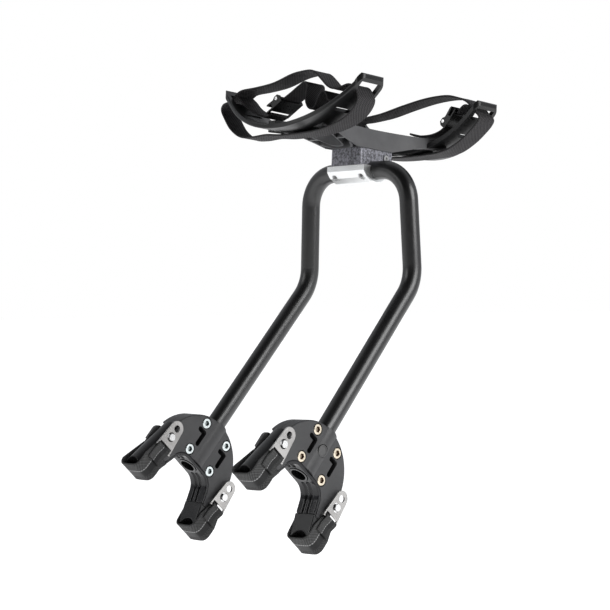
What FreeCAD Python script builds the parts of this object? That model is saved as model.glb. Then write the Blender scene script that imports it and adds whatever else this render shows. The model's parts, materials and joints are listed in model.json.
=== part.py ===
"""Bicycle cargo rack: a bent tube that straddles the wheel, two strap-on stay clamps, a strap cradle.

Millimetres, +Z up, -Y is the side that the lower legs point to. The origin lies midway between the two
stays that the rack is strapped to, on the line through the four foot grooves.
"""
import FreeCAD, Part
import math
import os

V = FreeCAD.Vector
UP = V(0, 0, 1)
ACROSS = V(1, 0, 0)

# ---- tube ----
TUBE_R = 9.5
TUBE_WALL = 2.0
FIT_GAP = 0.05              # radial clearance between the tube and what holds it
ARCH_HALF = 67.9            # half width of the arch, to the corner of the centreline
ARCH_BEND_R = 34.5
SHOULDER_HALF = 73.3
SHOULDER_DROP = 114.9       # from the arch's top down to the shoulder bend
SHOULDER_BEND_R = 42.0
LEG_SLOPE = math.radians(46.6)   # the lower legs' slope below the horizontal
LEG_RUN = 223.6             # from the shoulder's corner to the clamp's centre
CLAMP_HALF = 78.05          # half distance between the clamps' centres
TUBE_END = 25.0             # the tube's open end, past the clamp's centre

# ---- stay clamps, in their own frame: x across, y down the leg, z along the stay ----
SHELL_HALF = 12.0           # half thickness of the two shells together
SHELL_GAP = 0.3
CROWN_R = 49.0
CROWN_Y = 21.0              # centre of the crown's arc
LEG_Y0 = 8.0                # where the crown's arc meets the leg's straight outer edge
OUTER_SLOPE = math.tan(math.radians(12.0))
INNER_SLOPE = math.tan(math.radians(18.9))
THROAT_Y = 24.5             # flat of the throat between the legs
THROAT_HALF = 12.0
BEND_MID_Y = 27.0           # middle of the round between the throat's flat and a leg
BEND_MID_Z = 20.4
BEND_END_Y = 36.0
THROAT_SIDE_Y = 28.5
THROAT_SIDE_Z = 24.5
FOOT_Y = 68.4               # end face of the feet
PAD_Y0 = 46.0               # the shells' legs end here, inside the rubber feet
PAD_SKIN = 6.0              # rubber on the outer side of each leg
PAD_HALF = 12.5
LINER = 3.4
GROOVE_R = 11.0
GROOVE_Y = 73.0             # the stay's axis
BOSS_R = 13.8
BOLT_Y = 16.4
BOLT_Z = 17.7
BOLT_R = 2.5
BOLT_HEAD_R = 5.2
CHAMFER = 0.5
STRAP_Z = 48.0              # centre line of the foot straps
STRAP_W = 25.0
STRAP_T = 1.6
TAB_Z = 47.0
TAB_T = 1.5
TAB_X = 15.3                # inner face of the tab
TAB_TIP_R = 7.8
TAB_HOLE_R = 3.6
TAB_BASE = 10.4             # half width at the bar
TAB_LEG = 2.0               # width of the metal beside the slit
TAB_SLIT_Y = 35.4
TAB_BAR_R = 1.1
TAB_END_Y = 40.4            # axis of the bar that the webbing hangs on
STUD_Y = 25.6
STUD_R = 3.8
ANCHOR_Z = 42.0
LEAN_Y = 62.0               # above this the strap leans towards its anchor
PLUG_R = 5.9
PLUG_FLOOR = 11.6
PLUG_TOP = 13.2
PLUG_Y = -4.6
HEAD_SINK = 2.6             # the screw heads sit this deep in the shells
HEAD_TALL = 2.8
HEAD_ROOM = 0.7             # gap round a head
HEAD_FLOOR = 0.8            # left under the key hole
TAB_TIP_Y = 15.0

# ---- cradle, in its own frame: origin on the arch tube's axis, tipped nose up ----
CRADLE_TIP = 5.0            # degrees
SADDLE_Z = 28.0             # lowest line of a saddle
SADDLE_R = 130.0
SADDLE_T = 4.5
SADDLE_HALF = 98.0
SADDLE_EDGE = 123.0         # the saddles' outer edge, on the centre line
SADDLE_EDGE_TIP = 102.0
SADDLE_INNER = 69.0
TIP_ROUND = 7.0
SLOT_FROM_TIP = 7.0         # along the saddle, from its tip
SLOT_LONG = 14.0
SLOT_WIDE = 27.0
WINDOW_X = 64.0             # a narrow window in each wing
WINDOW_HALF = 0.022         # half its length, as an angle
WINDOW_NEAR = 82.0
WINDOW_FAR = 104.0
ARM_SCREW_X = 32.5
ARM_SCREW_Y = 80.0
DECK_SCREW = 12.0           # the mount screws stand on a square of twice this side
DECK_TOP = 42.0
DECK_LOW = 22.0
ARM_LOW = 31.0
ARM_Y = 96.0
ARM_FROM_Y = 62.0           # the underside is level from here to the arms' ends
ARM_HALF = 41.0
WAIST_HALF = 22.0
COVE_Y = 31.0
COVE_R = 11.0
INNER_COVE_R = 22.5         # outside of the second wall round a cove
INNER_COVE_END = 36.0
WALL = 2.6
PIVOT_Y = 18.0
PIVOT_Z = 14.5
MOUNT_SCREW_LOW = 12.5
CLAMP_SCREW_TOP = 11.5
BELT_Y = 86.5               # centre line of the two cradle straps
BELT_W = 25.0
BELT_T = 2.0


def box(x0, x1, y0, y1, z0, z1):
    return Part.makeBox(x1 - x0, y1 - y0, z1 - z0, V(x0, y0, z0))


def cyl(radius, start, end):
    run = end - start
    return Part.makeCylinder(radius, run.Length, start, run)


def prism(points, depth):
    """Solid of a flat outline of points, pushed along the vector depth."""
    ring = list(points) + [points[0]]
    return Part.Face(Part.makePolygon(ring)).extrude(depth)


def fuse(shapes):
    whole = shapes[0]
    for shape in shapes[1:]:
        whole = whole.fuse(shape)
    return whole.removeSplitter()


def group(solids):
    return Part.makeCompound(solids)


def rounded_path(points, radii):
    """Straight runs joined by tangent arcs, one radius for each inner point."""
    edges = []
    at = points[0]
    for index, radius in enumerate(radii, 1):
        corner = points[index]
        back = (points[index - 1] - corner).normalize()
        ahead = (points[index + 1] - corner).normalize()
        half = back.getAngle(ahead) / 2
        start = corner + back * (radius / math.tan(half))
        end = corner + ahead * (radius / math.tan(half))
        middle_dir = (back + ahead).normalize()
        middle = corner + middle_dir * (radius / math.sin(half) - radius)
        edges.append(Part.LineSegment(at, start).toShape())
        edges.append(Part.Arc(start, middle, end).toShape())
        at = end
    edges.append(Part.LineSegment(at, points[-1]).toShape())
    return Part.Wire(edges)


def swept_rod(path, radius, start, direction):
    ring = Part.Wire(Part.makeCircle(radius, start, direction))
    return path.makePipeShell([ring], True, True)


def ribbon(points, thickness, low_y, high_y, closed=False):
    """A band of webbing, low_y to high_y wide: a smooth line through (x, z) points, thickened."""
    line = Part.BSplineCurve()
    line.interpolate([V(x, low_y, z) for x, z in points], PeriodicFlag=closed)
    first, last = line.FirstParameter, line.LastParameter
    count = 4 * len(points)
    sides = []
    for sign in (-1, 1):
        row = []
        steps = count if closed else count + 1
        for index in range(steps):
            at = first + (last - first) * index / count
            tangent = line.tangent(at)[0]
            normal = V(-tangent.z, 0, tangent.x)
            row.append(line.value(at) + normal * (sign * thickness / 2))
        side = Part.BSplineCurve()
        side.interpolate(row, PeriodicFlag=closed)
        sides.append(side)
    depth = V(0, high_y - low_y, 0)
    if closed:
        faces = [Part.Face(Part.Wire(side.toShape())) for side in sides]
        faces.sort(key=lambda face: face.Area)
        return faces[1].extrude(depth).cut(faces[0].extrude(depth))
    near, far = sides
    ends = [Part.LineSegment(near.EndPoint, far.EndPoint).toShape(),
            Part.LineSegment(far.StartPoint, near.StartPoint).toShape()]
    wire = Part.Wire([near.toShape(), ends[0], far.toShape(), ends[1]])
    return Part.Face(wire).extrude(depth)


# ---------------------------------------------------------------- places
LEG_DIR = V(0, -math.cos(LEG_SLOPE), -math.sin(LEG_SLOPE))
STAY_DIR = V(0, math.sin(LEG_SLOPE), -math.cos(LEG_SLOPE))
ARCH = LEG_DIR * -(LEG_RUN + GROOVE_Y) + UP * SHOULDER_DROP


def tube_points(side):
    """Corners of one half of the centreline, from the arch down to the tube's open end."""
    shoulder = ARCH + V(side * SHOULDER_HALF, 0, -SHOULDER_DROP)
    centre = clamp_centre(side)
    end = centre + (centre - shoulder).normalize() * TUBE_END
    return ARCH + V(side * ARCH_HALF, 0, 0), shoulder, end


def clamp_centre(side):
    return V(side * CLAMP_HALF, 0, 0) - LEG_DIR * GROOVE_Y


def clamp_place(side):
    """Placement of a stay clamp: x across, y down the leg's tube, z along the stay."""
    shoulder = ARCH + V(side * SHOULDER_HALF, 0, -SHOULDER_DROP)
    down = (clamp_centre(side) - shoulder).normalize()
    turn = FreeCAD.Rotation(down.cross(STAY_DIR), down, STAY_DIR, "XYZ")
    return FreeCAD.Placement(clamp_centre(side), turn)


CRADLE_PLACE = FreeCAD.Placement(ARCH, FreeCAD.Rotation(ACROSS, -CRADLE_TIP))


# ---------------------------------------------------------------- frame tube
def frame_tube():
    left_arch, left_shoulder, left_end = tube_points(-1)
    right_arch, right_shoulder, right_end = tube_points(1)
    points = [left_end, left_shoulder, left_arch, right_arch, right_shoulder, right_end]
    radii = [SHOULDER_BEND_R, ARCH_BEND_R, ARCH_BEND_R, SHOULDER_BEND_R]
    path = rounded_path(points, radii)
    direction = left_shoulder - left_end
    outside = swept_rod(path, TUBE_R, left_end, direction)
    inside = swept_rod(path, TUBE_R - TUBE_WALL, left_end, direction)
    return outside.cut(inside)


# ---------------------------------------------------------------- stay clamp
def outer_edge(y):
    return 49.3 + (y - LEG_Y0) * OUTER_SLOPE


def inner_edge(y):
    return THROAT_SIDE_Z + (y - THROAT_SIDE_Y) * INNER_SLOPE


def horseshoe(end_y, outer_trim, inner_trim, x0, x1):
    """Horseshoe plate between x0 and x1, its edges pulled in by the two trims."""
    radius = CROWN_R - min(outer_trim, 0.01)
    top = V(x0, CROWN_Y - radius, 0)
    sides = []
    for sign in (1, -1):
        angle = math.acos((CROWN_Y - LEG_Y0) / radius)
        crown_z = radius * math.sin(angle)
        sides.append([V(x0, LEG_Y0, sign * crown_z),
                      V(x0, LEG_Y0, sign * (outer_edge(LEG_Y0) - outer_trim)),
                      V(x0, end_y, sign * (outer_edge(end_y) - outer_trim)),
                      V(x0, end_y, sign * (inner_edge(end_y) + inner_trim)),
                      V(x0, BEND_END_Y, sign * (inner_edge(BEND_END_Y) + inner_trim)),
                      V(x0, THROAT_Y - inner_trim, sign * THROAT_HALF)])
    right, left = sides
    edges = [Part.Arc(left[0], top, right[0]).toShape()]
    for side in sides:
        for start, end in zip(side[:4], side[1:5]):
            if (end - start).Length > 0.05:
                edges.append(Part.LineSegment(start, end).toShape())
        bend_z = math.copysign(BEND_MID_Z + 0.6 * inner_trim, side[4].z)
        bend = V(x0, BEND_MID_Y - 0.8 * inner_trim, bend_z)
        edges.append(Part.Arc(side[4], bend, side[5]).toShape())
    edges.append(Part.LineSegment(right[5], left[5]).toShape())
    return Part.Face(Part.Wire(Part.__sortEdges__(edges))).extrude(V(x1 - x0, 0, 0))


def foot_grip(x_half, sign):
    """Rounded leg: a half round along the leg's outer side and a flat block inside of it."""
    slope = V(0, 1, sign * OUTER_SLOPE).normalize()
    start = V(0, 0, sign * (outer_edge(0) - x_half / math.cos(math.atan(OUTER_SLOPE))))
    round_side = cyl(x_half, start - slope * 20, start + slope * 120)
    high, low = -20, 100
    flat = prism([V(-x_half, high, sign * (outer_edge(high) - x_half)),
                  V(-x_half, low, sign * (outer_edge(low) - x_half)),
                  V(-x_half, low, 0), V(-x_half, high, 0)], V(2 * x_half, 0, 0))
    return round_side.fuse(flat)


def bolt_places():
    return [(y, z) for y in (-BOLT_Y, BOLT_Y) for z in (-BOLT_Z, BOLT_Z)]


def hook_slots(side):
    """Two hook-shaped pockets with round ends between the bolts, in the shell's face."""
    half = 2.5
    x0, x1 = sorted((side * (SHELL_HALF - 9.5), side * (SHELL_HALF + 2)))
    pockets = []
    for z in (-13.8, 21.7):
        elbow, foot = -7.0, z - 6.8
        for y, at in ((elbow, z), (6.3, z), (elbow, foot)):
            pockets.append(cyl(half, V(x0, y, at), V(x1, y, at)))
        pockets.append(box(x0, x1, elbow, 6.3, z - half, z + half))
        pockets.append(box(x0, x1, elbow - half, elbow + half, foot, z))
    return fuse(pockets)


def clamp_shell(side, badge):
    """One half of a clamp: side +1 is the half at +x."""
    x0, x1 = (SHELL_GAP / 2, SHELL_HALF) if side > 0 else (-SHELL_HALF, -SHELL_GAP / 2)
    plate = horseshoe(PAD_Y0, PAD_SKIN, LINER, x0, x1)
    face_edges = [edge for edge in plate.Edges
                  if all(abs(v.X - side * SHELL_HALF) < 0.01 for v in edge.Vertexes)
                  and edge.Length > 60 and edge.CenterOfMass.y < 0]
    plate = plate.makeFillet(2.0, face_edges)
    boss = cyl(BOSS_R, V(0, -40, 0), V(0, THROAT_Y - LINER, 0))
    trimmer = horseshoe(PAD_Y0, 0, LINER, -30, 30)
    keep = box(0, 40, -60, 80, -80, 80) if side > 0 else box(-40, 0, -60, 80, -80, 80)
    keep.translate(V(side * SHELL_GAP / 2, 0, 0))
    boss = boss.common(trimmer).common(keep)
    shell = plate.fuse(boss)
    shell = shell.cut(cyl(TUBE_R + FIT_GAP, V(0, -60, 0), V(0, 60, 0)))
    for y, z in bolt_places():
        shell = shell.cut(cyl(BOLT_R + 0.2, V(-20, y, z), V(20, y, z)))
        rim = side * (SHELL_HALF - HEAD_SINK)
        shell = shell.cut(cyl(BOLT_HEAD_R + HEAD_ROOM, V(rim, y, z), V(rim + side * 6, y, z)))
    shell = shell.cut(hook_slots(side))
    for sign in (-1, 1):
        z = sign * TAB_Z
        shell = shell.cut(cyl(2.2, V(side * 5, STUD_Y, z), V(side * 20, STUD_Y, z)))
    if badge:
        shell = shell.cut(cyl(PLUG_R + 0.5, V(side * PLUG_FLOOR, PLUG_Y, 0), V(side * 20, PLUG_Y, 0)))
    return shell.removeSplitter()


def badge_plug(side):
    """A plain round plug in the boss of an outer shell."""
    plug = cyl(PLUG_R, V(side * PLUG_FLOOR, PLUG_Y, 0), V(side * PLUG_TOP, PLUG_Y, 0))
    dish = cyl(PLUG_R - 1.0, V(side * (PLUG_TOP - 0.4), PLUG_Y, 0), V(side * 15, PLUG_Y, 0))
    return plug.cut(dish)


def ridge_rows():
    """Centres across the liner of its three ridges."""
    return (-6.0, 0.0, 6.0)


def clamp_liner():
    """Ribbed rubber in the throat, from one foot round to the other, with a hole for the tube's end."""
    inside = horseshoe(PAD_Y0, 10.0, 0, -SHELL_HALF, SHELL_HALF)
    outside = horseshoe(PAD_Y0, 10.0, LINER, -SHELL_HALF - 1, SHELL_HALF + 1)
    liner = inside.cut(outside)
    floor = box(-40, 40, -60, THROAT_Y - LINER, -80, 80)
    liner = liner.cut(floor)
    for x in ridge_rows():
        channel = horseshoe(PAD_Y0 + 1, 10.0, 0, x + 1.2, x + 4.8)
        kept = horseshoe(PAD_Y0 + 1, 10.0, 1.6, x, x + 6)
        if x < 6.0:
            liner = liner.cut(channel.cut(kept))
    rounded = cyl(TUBE_R + 2.4, V(0, THROAT_Y - LINER, 0), V(0, THROAT_Y, 0))
    liner = liner.fuse(rounded)
    liner = liner.cut(cyl(TUBE_R + FIT_GAP, V(0, 0, 0), V(0, 60, 0)))
    return max(liner.removeSplitter().Solids, key=lambda solid: solid.Volume)


def foot_pad(sign):
    """Rubber foot on a leg's end: a skin up the leg's outer side and a block with the stay's groove."""
    full = prism([V(-PAD_HALF, LEG_Y0 + 0.2, sign * (outer_edge(LEG_Y0) - PAD_SKIN + 0.2)),
                  V(-PAD_HALF, LEG_Y0 + 0.2, sign * outer_edge(LEG_Y0)),
                  V(-PAD_HALF, FOOT_Y, sign * outer_edge(FOOT_Y)),
                  V(-PAD_HALF, FOOT_Y, sign * inner_edge(FOOT_Y)),
                  V(-PAD_HALF, PAD_Y0 + 0.2, sign * inner_edge(PAD_Y0)),
                  V(-PAD_HALF, PAD_Y0 + 0.2, sign * (outer_edge(PAD_Y0) - PAD_SKIN + 0.2))],
                 V(2 * PAD_HALF, 0, 0))
    pad = full.common(foot_grip(PAD_HALF, sign))
    groove = cyl(GROOVE_R, V(0, GROOVE_Y, sign * 20), V(0, GROOVE_Y, sign * 90))
    pad = pad.cut(groove)
    pad = pad.cut(cyl(STUD_R, V(0, STUD_Y, sign * TAB_Z), V(30, STUD_Y, sign * TAB_Z)))
    return max(pad.Solids, key=lambda solid: solid.Volume)


def hex_prism(half_flats, centre, length):
    radius = half_flats / math.cos(math.radians(30))
    corners = []
    for k in range(6):
        turn = math.radians(60 * k)
        corners.append(centre + V(0, radius * math.cos(turn), radius * math.sin(turn)))
    return prism(corners, V(length, 0, 0))


def head(y, z, side, key):
    """Round head on the floor of a shell's recess, chamfered round its rim, with a hexagon key hole."""
    floor = side * (SHELL_HALF - HEAD_SINK)
    rim = floor + side * (HEAD_TALL - CHAMFER)
    drum = cyl(BOLT_HEAD_R, V(floor, y, z), V(rim, y, z))
    bevel = Part.makeCone(BOLT_HEAD_R, BOLT_HEAD_R - CHAMFER, CHAMFER, V(rim, y, z), V(side, 0, 0))
    socket = hex_prism(key, V(floor + side * HEAD_FLOOR, y, z), side * HEAD_TALL)
    return drum.fuse(bevel).removeSplitter().cut(socket)


def clamp_bolts(side):
    """Four socket screws, their heads on one face."""
    solids = []
    for y, z in bolt_places():
        shank = cyl(BOLT_R, V(-side * 7.5, y, z), V(side * (SHELL_HALF - HEAD_SINK), y, z))
        solids.append(fuse([shank, head(y, z, side, 2.7)]))
    return group(solids)


def clamp_nuts(side):
    """Four round insert nuts on the face that the screws' ends reach."""
    return group([head(y, z, side, 2.5) for y, z in bolt_places()])


def foot_strap(sign):
    """Webbing round a foot, from behind the tab on the +x face, under the groove, to the -x face.

    On the -x face it leans inwards, along the leg, to its anchor.
    """
    skin = PAD_HALF + 0.3 + STRAP_T / 2
    foot = FOOT_Y + 0.4 + STRAP_T / 2
    near = [(skin, TAB_END_Y - 1.0), (skin, 45), (skin, 51), (skin, 58), (skin, 65.0)]
    under = [(skin - 0.5, foot - 0.9), (skin - 4.0, foot + 1.2), (6, foot + 1.4), (0, foot + 1.5)]
    whole = near + under + [(-x, y) for x, y in under[-2::-1]] + [(-skin, 65.0), (-skin, LEAN_Y)]
    flip = FreeCAD.Matrix()      # swaps y and z, so that the band runs down the leg
    flip.A22, flip.A23, flip.A32, flip.A33 = 0, 1, 1, 0
    band = ribbon(whole, STRAP_T, -STRAP_W / 2, STRAP_W / 2).transformGeometry(flip)
    band.translate(V(0, 0, sign * STRAP_Z))
    top, lean = TAB_SLIT_Y - 1.0, sign * (STRAP_Z - ANCHOR_Z)
    low_z, high_z = sign * STRAP_Z - STRAP_W / 2, sign * STRAP_Z + STRAP_W / 2
    x0 = -skin - STRAP_T / 2
    far = prism([V(x0, LEAN_Y + 0.2, low_z), V(x0, LEAN_Y + 0.2, high_z), V(x0, top, high_z - lean),
                 V(x0, top, low_z - lean)], V(STRAP_T, 0, 0))
    return fuse([band, far])


def strap_tab(sign):
    """Stainless tab: a rounded tip with two holes, widening to a bar that the webbing hangs on."""
    half_outline = [(TAB_TIP_Y, TAB_TIP_R), (TAB_END_Y, TAB_BASE)]
    outline = half_outline + [(y, -z) for y, z in half_outline[::-1]]
    plate = prism([V(TAB_X, y, z) for y, z in outline], V(TAB_T, 0, 0))
    plate = plate.fuse(cyl(TAB_TIP_R, V(TAB_X, TAB_TIP_Y, 0), V(TAB_X + TAB_T, TAB_TIP_Y, 0)))
    plate = plate.cut(cyl(TAB_HOLE_R, V(0, TAB_TIP_Y, 0), V(30, TAB_TIP_Y, 0)))
    plate = plate.cut(cyl(STUD_R + 0.9, V(0, STUD_Y + 0.2, -0.3), V(30, STUD_Y + 0.2, -0.3)))
    slit = TAB_BASE - TAB_LEG
    plate = plate.cut(box(0, 30, TAB_SLIT_Y, TAB_END_Y, -slit, slit))
    bar_x = TAB_X + TAB_T / 2
    plate = plate.fuse(cyl(TAB_BAR_R, V(bar_x, TAB_END_Y, -TAB_BASE), V(bar_x, TAB_END_Y, TAB_BASE)))
    plate.translate(V(0, 0, sign * TAB_Z))
    return plate.removeSplitter()


def strap_studs():
    """Two headed studs that the tabs hook over."""
    solids = []
    for sign in (-1, 1):
        z = sign * TAB_Z
        stem = cyl(2.0, V(6, STUD_Y, z), V(SHELL_HALF, STUD_Y, z))
        shoulder = cyl(STUD_R - 0.4, V(SHELL_HALF, STUD_Y, z), V(TAB_X + TAB_T, STUD_Y, z))
        dome = Part.makeSphere(STUD_R, V(TAB_X + TAB_T, STUD_Y, z))
        cap = dome.common(box(TAB_X + TAB_T, 40, -60, 90, -90, 90))
        cap = cap.common(box(0, TAB_X + TAB_T + 1.6, -60, 90, -90, 90))
        solids.append(fuse([stem, shoulder, cap]))
    return group(solids)


def strap_anchors():
    """Two moulded anchor plates on the -x face that hold the straps' fixed ends."""
    solids = []
    for sign in (-1, 1):
        z = sign * ANCHOR_Z
        plate = box(-SHELL_HALF - 3.0, -SHELL_HALF, 12, 38, z - 9.0, z + 9.0)
        edges = [edge for edge in plate.Edges
                 if abs(edge.tangentAt(0).x) > 0.9 and edge.CenterOfMass.y < 20]
        plate = plate.makeFillet(7.0, edges)
        plate = plate.cut(box(-SHELL_HALF - 4, -SHELL_HALF - 0.7, 32, 39, z - 14, z + 14))
        solids.append(plate)
    return group(solids)


# ---------------------------------------------------------------- cradle
def saddle_edge(x):
    return SADDLE_EDGE - (SADDLE_EDGE - SADDLE_EDGE_TIP) * (x / SADDLE_HALF) ** 2


def saddle_sector(radius_out, radius_in, angle_from, angle_to, y0, y1):
    """Piece of the saddle's curved sheet between two angles from its lowest line."""
    centre = V(0, y0, SADDLE_Z + SADDLE_R)

    def at(radius, angle):
        return centre + V(radius * math.sin(angle), 0, -radius * math.cos(angle))

    middle = (angle_from + angle_to) / 2
    outer = [at(radius_out, angle) for angle in (angle_from, middle, angle_to)]
    inner = [at(radius_in, angle) for angle in (angle_to, middle, angle_from)]
    edges = [Part.Arc(*outer).toShape(), Part.LineSegment(outer[2], inner[0]).toShape(),
             Part.Arc(*inner).toShape(), Part.LineSegment(inner[2], outer[0]).toShape()]
    return Part.Face(Part.Wire(edges)).extrude(V(0, y1 - y0, 0))


def saddle_plan():
    """The front saddle's outline from above: bowed outer edge, straight inner edge, round tips."""
    round_x = SADDLE_HALF - TIP_ROUND
    near = -saddle_edge(round_x)
    bow = TIP_ROUND * (1 - math.sqrt(0.5))
    bowed = Part.BSplineCurve()
    bowed.interpolate([V(round_x * k / 3, -saddle_edge(round_x * k / 3), 0) for k in range(-3, 4)])
    straight = Part.LineSegment(V(-round_x, -SADDLE_INNER, 0), V(round_x, -SADDLE_INNER, 0))
    edges = [bowed.toShape(), straight.toShape()]
    for sign in (-1, 1):
        tip = sign * SADDLE_HALF
        low = V(tip, near + TIP_ROUND, 0)
        high = V(tip, -SADDLE_INNER - TIP_ROUND, 0)
        corner = V(tip - sign * bow, near + bow, 0)
        edges.append(Part.Arc(V(sign * round_x, near, 0), corner, low).toShape())
        edges.append(Part.LineSegment(low, high).toShape())
        edges.append(Part.Arc(high, V(tip - sign * bow, -SADDLE_INNER - bow, 0),
                              V(sign * round_x, -SADDLE_INNER, 0)).toShape())
    return Part.Face(Part.Wire(Part.__sortEdges__(edges)))


def saddle(side):
    """Curved strap saddle; side -1 is the front one."""
    tip_angle = math.asin(SADDLE_HALF / (SADDLE_R - SADDLE_T / 2))
    sheet = saddle_sector(SADDLE_R, SADDLE_R - SADDLE_T, -tip_angle, tip_angle, -140, -50)
    sheet = sheet.common(saddle_plan().extrude(V(0, 0, 160)))
    window = math.asin(WINDOW_X / SADDLE_R)
    slot = tip_angle - SLOT_FROM_TIP / SADDLE_R
    holes = [(slot - SLOT_LONG / SADDLE_R, slot, -BELT_Y - SLOT_WIDE / 2, -BELT_Y + SLOT_WIDE / 2),
             (window - WINDOW_HALF, window + WINDOW_HALF, -WINDOW_FAR, -WINDOW_NEAR)]
    for sign in (-1, 1):
        for near, far, y0, y1 in holes:
            low, high = sorted((sign * near, sign * far))
            sheet = sheet.cut(saddle_sector(SADDLE_R + 5, SADDLE_R - 10, low, high, y0, y1))
    for x in (-ARM_SCREW_X, ARM_SCREW_X):
        sheet = sheet.cut(cyl(1.7, V(x, -ARM_SCREW_Y, 20), V(x, -ARM_SCREW_Y, 60)))
    sheet = sheet.cut(base_solid(0.15))
    sheet = max(sheet.Solids, key=lambda solid: solid.Volume)
    rims = [edge for edge in sheet.Edges
            if edge.Length > 150 and abs(edge.tangentAt(edge.FirstParameter).x) > 0.3]
    sheet = sheet.makeFillet(1.2, rims)
    if side > 0:
        sheet = turned(sheet)
    return sheet


def turned(shape):
    """The same piece at the other end of the cradle."""
    copy = shape.copy()
    copy.rotate(V(0, 0, 0), UP, 180)
    return copy


def base_plan(inset):
    """Hourglass outline with four arms, as a face at z = 0; inset pulls every wall inwards."""
    end_y = ARM_Y - inset
    end_x = ARM_HALF - inset
    waist = WAIST_HALF - inset
    cove = COVE_Y - inset
    inner_x = 27.0 + inset
    edges = []
    for side in (1, -1):
        edges.append(Part.Arc(V(side * end_x, -side * end_y, 0), V(side * waist, 0, 0),
                              V(side * end_x, side * end_y, 0)).toShape())
    for side in (1, -1):
        tip = V(0, side * cove, 0)
        for flank in (1, -1):
            knee = V(flank * COVE_R * 0.8, side * (cove + 4.5), 0)
            mid = V(flank * COVE_R * 0.42, side * (cove + 0.9), 0)
            edges.append(Part.Arc(tip, mid, knee).toShape())
            edges.append(Part.LineSegment(knee, V(flank * inner_x, side * end_y, 0)).toShape())
            edges.append(Part.LineSegment(V(flank * inner_x, side * end_y, 0),
                                          V(flank * end_x, side * end_y, 0)).toShape())
    return Part.Face(Part.Wire(Part.__sortEdges__(edges)))


def base_solid(grow):
    """The base's outer form: flat deck, underside that rises to the four arm ends."""
    low = DECK_LOW - grow
    arm = ARM_LOW - grow
    top = DECK_TOP + grow
    profile = [V(-60, -26, low), V(-60, 26, low), V(-60, ARM_FROM_Y, arm), V(-60, 100, arm),
               V(-60, 100, top), V(-60, -100, top), V(-60, -100, arm), V(-60, -ARM_FROM_Y, arm)]
    side_form = prism(profile, V(120, 0, 0))
    face = base_plan(-grow)
    face.translate(V(0, 0, 10))
    return face.extrude(V(0, 0, 60)).common(side_form)


def deck_floor():
    """Solid middle of the base, over the mount block, with a round wall facing each cove."""
    floor = box(-24, 24, -21, 21, 10, DECK_TOP)
    for side in (-1, 1):
        centre = side * (COVE_Y + COVE_R)
        wall = cyl(INNER_COVE_R, V(0, centre, 10), V(0, centre, DECK_TOP))
        wall = wall.cut(cyl(INNER_COVE_R - WALL, V(0, centre, 0), V(0, centre, 60)))
        near, far = sorted((side * 15, side * INNER_COVE_END))
        floor = floor.fuse(wall.common(box(-60, 60, near, far, 0, 60)))
    return floor


def cradle_base():
    body = base_solid(0)
    corners = [edge for edge in body.Edges
               if abs(edge.tangentAt(0).z) > 0.99 and abs(edge.CenterOfMass.x) > ARM_HALF - 0.5]
    body = body.makeFillet(4.0, corners)
    pocket = base_plan(WALL)
    pocket.translate(V(0, 0, 10))
    hollow = pocket.extrude(V(0, 0, DECK_TOP - 3.0 - 10))
    hollow = hollow.cut(deck_floor())
    for y0, y1 in ((-100, -ARM_FROM_Y), (ARM_FROM_Y, 100)):
        hollow = hollow.cut(box(-60, 60, y0, y1, 10, 60))
    for y in (-48, 48):
        hollow = hollow.cut(box(-60, 60, y - 1.2, y + 1.2, 10, 60))
    body = body.cut(hollow)
    for x, y in arm_screw_places():
        body = body.cut(cyl(1.5, V(x, y, 20), V(x, y, 38)))
    for x, y in deck_screw_places():
        body = body.cut(cyl(2.2, V(x, y, 10), V(x, y, 37)))
    return max(body.removeSplitter().Solids, key=lambda solid: solid.Volume)


def mount_block():
    """Block between the cradle's base and the arch tube, half round underneath."""
    front = box(-21, 21, -20, 5, 4.5, DECK_LOW - 0.05)
    rear = box(-19, 21, 5, 29, 4.5, DECK_LOW - 0.05)
    block = front.fuse(rear)
    tall = [edge for edge in block.Edges
            if abs(edge.tangentAt(0).z) > 0.9 and abs(edge.CenterOfMass.x) > 18
            and abs(edge.CenterOfMass.y - 5) > 2]
    block = block.makeFillet(2.5, tall)
    block = block.cut(cyl(TUBE_R + FIT_GAP, V(-60, 0, 0), V(60, 0, 0)))
    block = block.cut(cyl(2.4, V(-40, PIVOT_Y, PIVOT_Z), V(40, PIVOT_Y, PIVOT_Z)))
    for x, y in deck_screw_places():
        block = block.cut(cyl(2.2, V(x, y, MOUNT_SCREW_LOW), V(x, y, 40)))
    for x, y in clamp_screw_places():
        block = block.cut(cyl(1.8, V(x, y, 0), V(x, y, CLAMP_SCREW_TOP)))
    return block.removeSplitter()


def arch_clamp():
    """Bright clamp that holds the tube up against the mount block."""
    flank = [(19.5, 4.2), (19.5, -1.5), (14.5, -8.2), (7, -12.4)]
    profile = [(-y, z) for y, z in flank] + [(0, -13.4)] + flank[::-1]
    clamp = prism([V(-26, y, z) for y, z in profile], V(52, 0, 0))
    ends = [edge for edge in clamp.Edges
            if abs(abs(edge.CenterOfMass.x) - 26) < 0.1 and edge.CenterOfMass.z < -5]
    clamp = clamp.makeFillet(1.6, ends)
    clamp = clamp.cut(cyl(TUBE_R + FIT_GAP, V(-60, 0, 0), V(60, 0, 0)))
    for x, y in clamp_screw_places():
        clamp = clamp.cut(cyl(1.8, V(x, y, -30), V(x, y, 10)))
        clamp = clamp.cut(cyl(3.3, V(x, y, -30), V(x, y, -5.0)))
    return max(clamp.Solids, key=lambda solid: solid.Volume)


def deck_screw_places():
    return [(x, y) for x in (-DECK_SCREW, DECK_SCREW) for y in (-DECK_SCREW, DECK_SCREW)]


def arm_screw_places():
    return [(x, y) for x in (-ARM_SCREW_X, ARM_SCREW_X) for y in (-ARM_SCREW_Y, ARM_SCREW_Y)]


def clamp_screw_places():
    """The rear pair stands closer, inside the narrower rear of the mount block."""
    return [(-18.5, -14.0), (18.5, -14.0), (-16.0, 14.0), (16.0, 14.0)]


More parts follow.
